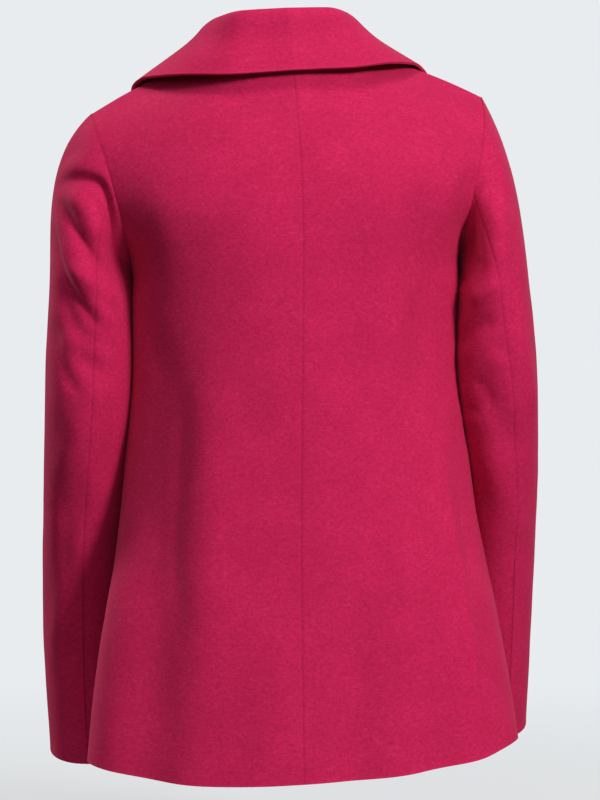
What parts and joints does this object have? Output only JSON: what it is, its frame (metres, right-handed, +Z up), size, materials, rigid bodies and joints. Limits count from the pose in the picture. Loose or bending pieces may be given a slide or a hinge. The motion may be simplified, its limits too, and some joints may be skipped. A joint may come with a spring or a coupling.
{
  "type": "pea coat",
  "caption": "Hip-length double-breasted pea coat of pressed wool, hanging as worn: wide turned collar and lapels, two-piece set-in sleeves, flared hem.",
  "frame": {"origin": "base of the neck, in the middle of the shoulders, where the wearer carries the coat", "axes": "+Z up, the back faces +Y, the fronts face -Y, and +X is the wearer's left"},
  "size_m": [0.4893, 0.3169, 0.7362],
  "materials": {
    "wool": "raspberry pressed wool, matt with a fine felted grain",
    "button_resin": "dark raspberry resin, half gloss"
  },
  "bodies": {
    "root": {"back_left": "wool", "back_right": "wool", "front_left": "wool", "front_right": "wool", "collar": "wool", "upper_sleeve_left": "wool", "under_sleeve_left": "wool", "upper_sleeve_right": "wool", "under_sleeve_right": "wool", "button_outer_1": "button_resin", "button_outer_2": "button_resin", "button_outer_3": "button_resin", "button_inner_1": "button_resin", "button_inner_2": "button_resin", "button_inner_3": "button_resin"}
  },
  "joints": []
}
